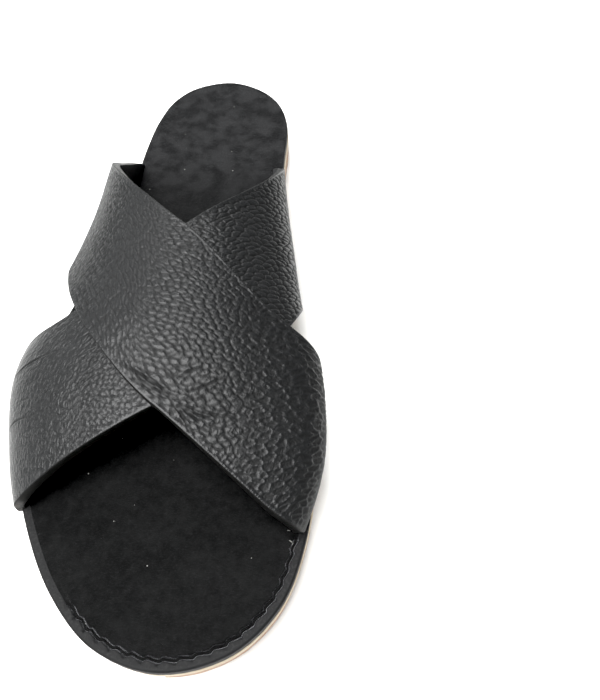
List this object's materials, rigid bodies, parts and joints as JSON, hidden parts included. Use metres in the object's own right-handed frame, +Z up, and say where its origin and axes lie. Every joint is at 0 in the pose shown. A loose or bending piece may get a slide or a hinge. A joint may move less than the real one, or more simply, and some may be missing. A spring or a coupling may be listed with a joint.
{
  "type": "slide sandal",
  "caption": "Open-toe slide sandal for the right foot: two wide crossed leather bands over a flat footbed and a sole of stacked leather layers.",
  "frame": {"origin": "on the floor under the middle of the sandal's bounding box", "axes": "+Z up, the toe points to -Y and the heel to +Y, and +X is the inner side of the right foot"},
  "size_m": [0.1004, 0.255, 0.0513],
  "materials": {
    "outsole_leather": "matte",
    "lower_midsole_leather": "matte",
    "upper_midsole_leather": "matte",
    "dark_edge_leather": "satin",
    "footbed_nubuck": "matte",
    "band_leather": "satin"
  },
  "bodies": {
    "root": {"outsole": "outsole_leather", "midsole_lower": "lower_midsole_leather", "midsole_upper": "upper_midsole_leather", "insole_base": "dark_edge_leather", "insole": "footbed_nubuck", "upper": "band_leather"}
  },
  "joints": []
}
